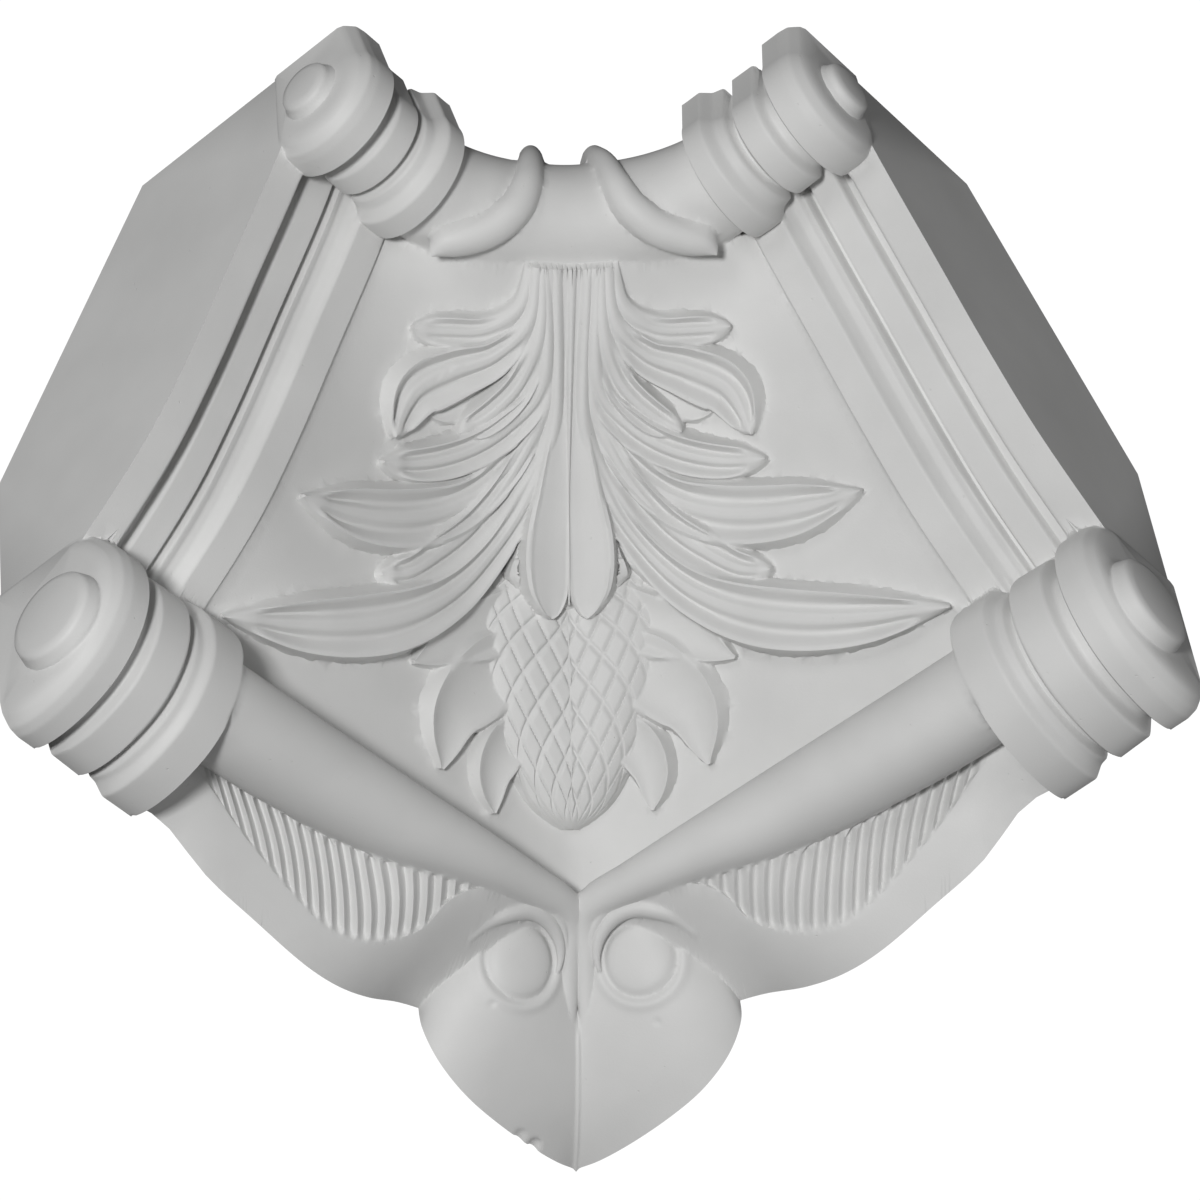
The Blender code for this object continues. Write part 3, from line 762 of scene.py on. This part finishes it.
# %% Lower roll
LOW_T, LOW_Z = 30.6, -207.1
LOW_DISCS = (
    (302, 19), (300.8, 22.6), (297, 25.4), (293, 26.3), (284.4, 26.3), (283.6, 20), (279.4, 20),
    (276.8, 24.4), (262.6, 25), (261.4, 20.2), (259.4, 20.2), (258.2, 23), (255, 23.6), (251.8, 26.3),
    (236.6, 26.3), (235.8, 17),
)
LOW_OUTLINE = (
    (-1.5, -0.8), (-1.2, -1.04), (-0.85, -1.16), (-0.35, -1.14), (0.2, -0.96), (0.6, -0.66), (0.9, -0.2),
    (1.01, 0.3), (0.93, 0.85), (0.6, 1.4), (0.25, 1.75),
)
LOW_SHAFT = (
    (240, 36.5, -204, 19), (200, 38.5, -204, 18.4), (150, 44, -204.5, 16), (112, 51.5, -205, 11.6),
    (84, 56, -204, 8), (66, 57, -203, 6.8), (57, 52.5, -206, 5.8), (50.5, 45.5, -213, 4.8),
    (42.5, 37.5, -222, 3.8), (33, 28, -235, 2.2),
)


def make_low_roll():
    rings = []
    outline = [mix_rows(LOW_OUTLINE, u) for u in evenly(0.0, 1.0, 44)] + [(-1.5, 1.75)]
    for d in disc_stations(LOW_DISCS, 0.7):
        radius = rounded(LOW_DISCS, d, 0.6)
        rings.append([arm(d, LOW_T + x * radius, LOW_Z + y * radius) for x, y in outline])
    rolled("low_discs", rings, carved)
    rings = []
    for tau in evenly(0.0, 1.0, 48):
        d, t, z, radius = mix_rows(LOW_SHAFT, tau)
        d2, t2, z2, _ = mix_rows(LOW_SHAFT, tau + 0.01)
        along = (arm(d2, t2, z2) - arm(d, t, z)).normalized()
        side = along.cross(Vector((0.3, 0.3, 1))).normalized()
        up = side.cross(along)
        angles = [2 * math.pi * j / 36 for j in range(36)]
        rings.append([arm(d, t, z) + (side * math.cos(a) + up * math.sin(a)) * radius for a in angles])
    rolled("low_shaft", rings, carved)


TOP_BOSS = ((290, 12.6), (302.4, 12.2), (303.6, 11.2), (306, 10.4), (307, 9.2), (307.3, 6))
LOW_BOSS = ((290, 19.4), (302.6, 19.2), (305, 18.4), (307.4, 17.6), (308.4, 15.8), (308.6, 13))


def make_bosses():
    """The round bosses on the arm's end, each drawn as length along the arm and radius."""
    for name, t, z, stations in (("top_boss", TOP_T, TOP_Z, TOP_BOSS), ("low_boss", LOW_T, LOW_Z, LOW_BOSS)):
        rings = []
        for d in evenly(stations[0][0], stations[-1][0], 24):
            radius = rounded(stations, d, 0.5)
            angles = [2 * math.pi * i / 48 for i in range(48)]
            rings.append([arm(d, t + radius * math.cos(a), z + radius * math.sin(a)) for a in angles])
        rolled(name, rings, carved)


make_low_roll()
make_bosses()
print("lower discs:", parts["low_discs"], "faces; shaft:", parts["low_shaft"], "faces")

# %% [markdown]
# ## Joining the forms into one casting
#
# The slabs are joined first and cut off square at the end of the arm. Then the carved forms join them, one
# Boolean keeps what lies in front of the two walls and under the ceiling, and the last one keeps the right
# half. A Boolean with a whole collection is far quicker than one modifier for each form.

# %% Join and trim
def prism(name, outline, first, last, group):
    return rolled(name, [[arm(d, t, z) for t, z in outline] for d in (first, last)], group)


def boolean(target, name, operation, operand):
    modifier = target.modifiers.new(name, "BOOLEAN")
    modifier.operation = operation
    modifier.solver = "MANIFOLD"
    if isinstance(operand, bpy.types.Collection):
        modifier.operand_type = "COLLECTION"
        modifier.collection = operand
    else:
        modifier.object = operand


slabs.objects.unlink(body)
bpy.context.scene.collection.objects.link(body)
body.name = "cast_corner_block"
ends = prism("ends", ((-400, -500), (700, -500), (700, 600), (-400, 600)), -400, LEG, cutters)
wall_side = ((0, -340), (360, -340), (360, 0), (CEILING_START, 0), (0, -BACK_FLAT))
room_corner = prism("room_corner", wall_side, -120, 340, cutters)
boolean(body, "join_slabs", "UNION", slabs)
boolean(body, "trim_ends", "INTERSECT", ends)
boolean(body, "join_carved", "UNION", carved)
boolean(body, "trim_walls", "INTERSECT", room_corner)
square = ((-400, -400), (300, -400), (300, 200), (-400, 200))
right_side = rolled("right_side", [[(x, y, z) for y, z in square] for x in (0, 500)], cutters)
boolean(body, "halve", "INTERSECT", right_side)


def applied_mesh(target, name):
    """The object's mesh with its modifiers applied."""
    bpy.context.view_layer.update()
    graph = bpy.context.evaluated_depsgraph_get()
    mesh = bpy.data.meshes.new_from_object(target.evaluated_get(graph))
    mesh.name = name
    return mesh


half = applied_mesh(body, "half_block")
print("right half:", len(half.polygons), "faces")

# %% [markdown]
# The half is open on the middle plane, and its mirror image closes it. Then the sharp inner corners are
# eased. A painted casting never has a knife-sharp crease: the primer fills it. A few rounds of vertex
# smoothing, only beside the lines where two forms meet, does what the primer does. Last come the marks of
# this one casting: small pits on the leaves and the tail, and chips on the lower left edge.

# %% Mirror and ease the creases
ON_MIDDLE = 0.000003
ON_SEAM = 0.0000001
SHARP_DEGREES = 42


def open_half(mesh):
    """The right half, with the cut face on the middle plane taken off."""
    bm = bmesh.new()
    bm.from_mesh(mesh)
    for vert in bm.verts:
        if abs(vert.co.x) < ON_MIDDLE:
            vert.co.x = 0.0
    cut_face = [face for face in bm.faces if all(vert.co.x == 0.0 for vert in face.verts)]
    bmesh.ops.delete(bm, geom=cut_face, context="FACES")
    bmesh.ops.triangulate(bm, faces=bm.faces[:])
    return bm


def mirrored(bm):
    copied = bmesh.ops.duplicate(bm, geom=bm.verts[:] + bm.edges[:] + bm.faces[:])["geom"]
    verts = [v for v in copied if isinstance(v, bmesh.types.BMVert)]
    faces = [f for f in copied if isinstance(f, bmesh.types.BMFace)]
    bmesh.ops.scale(bm, vec=(-1, 1, 1), verts=verts)
    bmesh.ops.reverse_faces(bm, faces=faces)
    seam = [v for v in bm.verts if v.co.x == 0.0]
    bmesh.ops.remove_doubles(bm, verts=seam, dist=ON_SEAM)


FLAT_MM, SLANT_MM = 0.03, 0.06


def stays_flat(co):
    """True on the ceiling face, the wall faces, the slanted back and the end of the arm."""
    across, out = abs(co.x) / MM, (CORNER_Y * MM - co.y) / MM
    d, t, z = (out + across) / ROOT2, (out - across) / ROOT2, co.z / MM
    slant = BACK_FLAT * (t / CEILING_START - 1)
    return z > -FLAT_MM or t < FLAT_MM or abs(z - slant) < SLANT_MM or abs(d - LEG) < FLAT_MM


SAME_PLACE = 0.00001
BESIDE = 0.003


def ease_creases(bm, rounds):
    """Smooths the vertices that the Booleans made, which lie where two forms meet, and their neighbours."""
    made = [v for v in bm.verts if modelled.find((abs(v.co.x), v.co.y, v.co.z))[2] > SAME_PLACE]
    beside = set(made)
    for vert in made:
        beside.update(edge.other_vert(vert) for edge in vert.link_edges if edge.calc_length() < BESIDE)
    beside = [v for v in beside if not stays_flat(v.co)]
    for _ in range(rounds):
        bmesh.ops.smooth_vert(bm, verts=beside, factor=0.4, use_axis_x=True, use_axis_y=True, use_axis_z=True)
    return len(beside)


# Marks of this one casting: place, width and depth in millimetres.
PITS = (
    ((-33.9, 112.0, -235.5), 1.6, 0.6), ((27.7, 119.0, -239.9), 1.6, 0.6), ((48.5, -59.5, -69.3), 1.3, 0.6),
    ((47.0, -53.0, -73.8), 1.3, 0.6), ((-39.4, -57.2, -68.6), 1.4, 0.6), ((-45.5, -56.3, -71.5), 1.3, 0.6),
    ((-49.3, -55.0, -73.4), 1.3, 0.6),
)
EDGE_CHIPS = (
    ((-17.4, 161.6, -261.6), 3.4, 1.7), ((-23.0, 155.7, -261.7), 3.0, 1.1),
    ((-62.0, 117.0, -248.0), 2.5, 0.8),
)


def dent(bm, marks, inward):
    """Pushes the skin in at each mark."""
    for place, width, depth in marks:
        middle = Vector(place) * MM
        for vert in bm.verts:
            far = (vert.co - middle).length / (width * MM)
            if far < 1:
                vert.co += inward * (depth * MM * (1 - far * far))


forms = [*slabs.objects, *carved.objects, body]
modelled = KDTree(sum(len(form.data.vertices) for form in forms))
for form in forms:
    for vert in form.data.vertices:
        modelled.insert(vert.co, 0)
modelled.balance()
casting = open_half(half)
mirrored(casting)
eased = ease_creases(casting, 2)
dent(casting, PITS, -ROOMWARD)
dent(casting, EDGE_CHIPS, Vector((0, 0, 1)))
casting_mesh = bpy.data.meshes.new("corner_block")
casting.to_mesh(casting_mesh)
open_edges = sum(1 for edge in casting.edges if len(edge.link_faces) != 2)
casting.free()
print("casting:", len(casting_mesh.polygons), "faces,", open_edges, "open edges,", eased, "vertices eased")

for polygon in casting_mesh.polygons:
    polygon.use_smooth = True
casting_mesh.set_sharp_from_angle(angle=math.radians(SHARP_DEGREES))
block = bpy.data.objects.new("corner_block", casting_mesh)
bpy.context.scene.collection.objects.link(block)
bpy.data.objects.remove(body, do_unlink=True)
for group in (slabs, carved, cutters):
    for form in list(group.objects):
        bpy.data.objects.remove(form, do_unlink=True)
    bpy.data.collections.remove(group)

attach(block, "root")
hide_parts("corner_moulding")

# %% [markdown]
# ## The material
#
# The block is polyurethane foam from a mould, with a sprayed primer. To the eye that is a matt off-white
# skin with very fine grain, a few tiny pits where bubbles burst, and slow unevenness where the primer lies
# thicker.

# %% Primed foam
def linear(hex_colour):
    """An sRGB hex colour as linear red, green and blue."""
    out = []
    for i in (1, 3, 5):
        c = int(hex_colour[i:i + 2], 16) / 255
        out.append(c / 12.92 if c <= 0.04045 else ((c + 0.055) / 1.055) ** 2.4)
    return (*out, 1.0)


def add_node(tree, kind, settings=(), links=()):
    """Adds a node, sets its values and links (input, node, output) into it."""
    node = tree.nodes.new(kind)
    for key, value in dict(settings).items():
        if isinstance(key, str) and hasattr(node, key):
            setattr(node, key, value)
        else:
            node.inputs[key].default_value = value
    for socket, source, output in links:
        tree.links.new(source.outputs[output], node.inputs[socket])
    return node


# A primer's real grain, about 0.2 mm, is too fine to show in the render, so it is drawn at 0.8 mm. A burst
# bubble comes about every 9 mm, and the tone drifts slowly, over about 45 mm.
GRAIN_MM = 0.8
PIT_MM = 9.0
DRIFT_SCALE = 22.0


def primed_foam():
    material = bpy.data.materials.new("primed_polyurethane_foam")
    material.use_nodes = True
    tree = material.node_tree
    shader = tree.nodes["Principled BSDF"]
    shader.inputs["Roughness"].default_value = 0.58
    shader.inputs["IOR"].default_value = 1.48
    place = add_node(tree, "ShaderNodeTexCoord")
    slow = add_node(
        tree, "ShaderNodeTexNoise", {"Scale": DRIFT_SCALE, "Detail": 3.0}, [("Vector", place, "Object")],
    )
    tone = add_node(tree, "ShaderNodeMapRange", {"From Min": 0.3, "From Max": 0.7}, [("Value", slow, "Fac")])
    colour = add_node(
        tree, "ShaderNodeMix",
        {"data_type": "RGBA", 6: linear("#d2d2d1"), 7: linear("#dadad9")},
        [("Factor", tone, "Result")],
    )
    tree.links.new(colour.outputs[2], shader.inputs["Base Color"])
    grain = add_node(
        tree, "ShaderNodeTexNoise", {"Scale": 1 / (GRAIN_MM * MM), "Detail": 2.0},
        [("Vector", place, "Object")],
    )
    pits = add_node(
        tree, "ShaderNodeTexVoronoi", {"Scale": 1 / (PIT_MM * MM)}, [("Vector", place, "Object")],
    )
    pit = add_node(
        tree, "ShaderNodeMapRange", {"From Min": 0.02, "From Max": 0.05}, [("Value", pits, "Distance")],
    )
    first = add_node(
        tree, "ShaderNodeBump", {"Strength": 0.35, "Distance": 0.0001}, [("Height", grain, "Fac")],
    )
    second = add_node(
        tree, "ShaderNodeBump", {"Strength": 0.5, "Distance": 0.0003},
        [("Height", pit, "Result"), ("Normal", first, "Normal")],
    )
    tree.links.new(second.outputs["Normal"], shader.inputs["Normal"])
    return material


casting_mesh.materials.append(primed_foam())
print("material:", casting_mesh.materials[0].name)

# %% [markdown]
# ## Stage, light and camera
#
# The photo is taken from below, nearly square to the sloping face, with soft light from the upper left and
# a white ground behind. The floor lies well below the camera, pale and plain.

# %% Stage and lights
def floor():
    bm = bmesh.new()
    bmesh.ops.create_grid(bm, x_segments=1, y_segments=1, size=4.0)
    bmesh.ops.translate(bm, vec=(0, 0, -2.4), verts=bm.verts[:])
    mesh = bpy.data.meshes.new("floor")
    bm.to_mesh(mesh)
    bm.free()
    made = bpy.data.objects.new("floor", mesh)
    material = bpy.data.materials.new("pale_floor")
    material.use_nodes = True
    material.node_tree.nodes["Principled BSDF"].inputs["Base Color"].default_value = linear("#d8d8d8")
    material.node_tree.nodes["Principled BSDF"].inputs["Roughness"].default_value = 0.9
    mesh.materials.append(material)
    bpy.context.scene.collection.objects.link(made)


def soft_light(name, place, watts, size):
    light = bpy.data.lights.new(name, "AREA")
    light.energy = watts
    light.size = size
    lamp = bpy.data.objects.new(name, light)
    lamp.location = place
    lamp.rotation_euler = (Vector((0, -0.05, -0.12)) - Vector(place)).to_track_quat("-Z", "Y").to_euler()
    bpy.context.scene.collection.objects.link(lamp)


def surroundings(light_level, ground_level):
    """An even pale room light, with a white ground behind the object."""
    world = bpy.data.worlds.new("studio")
    world.use_nodes = True
    tree = world.node_tree
    shader = tree.nodes["Background"]
    shader.inputs["Color"].default_value = (1, 1, 1, 1)
    shader.inputs["Strength"].default_value = light_level
    seen = add_node(tree, "ShaderNodeBackground", {"Color": (1, 1, 1, 1), "Strength": ground_level})
    path = add_node(tree, "ShaderNodeLightPath")
    both = add_node(
        tree, "ShaderNodeMixShader", {},
        [(0, path, "Is Camera Ray"), (1, shader, "Background"), (2, seen, "Background")],
    )
    tree.links.new(both.outputs[0], tree.nodes["World Output"].inputs["Surface"])
    bpy.context.scene.world = world


floor()
surroundings(0.05, 1.05)
soft_light("front", (-0.72, -1.55, -1.5), 30.0, 0.3)
soft_light("high_left", (-0.878, -1.382, -0.239), 3.0, 0.5)
soft_light("low_right", (0.593, -0.116, -1.605), 1.8, 0.6)
soft_light("side_right", (1.48, -0.434, -0.592), 2.1, 0.6)
bpy.context.scene.view_settings.view_transform = "Standard"

# %% [markdown]
# The camera was found by lining up the block's straight edges, the right angle of its walls and its square
# ends with the photo. Its place is in metres, and its long lens is given in pixels of the photo.

# %% Camera
EYE_AT = Vector((-0.22498, -1.20929, -1.47680))
RIGHT = Vector((0.99169, -0.07618, -0.10368))
UP = Vector((0.01286, -0.74316, 0.66898))
FOCAL_PIXELS, PHOTO_PIXELS = 4923.7, 1200


def photo_camera():
    data = bpy.data.cameras.new("photo_camera")
    data.sensor_width = 36.0
    data.lens = 36.0 * FOCAL_PIXELS / PHOTO_PIXELS
    camera = bpy.data.objects.new("photo_camera", data)
    right = RIGHT.normalized()
    up = (UP - right * UP.dot(right)).normalized()
    matrix = Matrix((right, up, right.cross(up))).transposed().to_4x4()
    matrix.translation = EYE_AT
    camera.matrix_world = matrix
    bpy.context.scene.collection.objects.link(camera)
    bpy.context.scene.camera = camera
    return camera


print("lens", round(photo_camera().data.lens, 1), "mm")

# %% [markdown]
# ## Finish

# %% Finish
import json
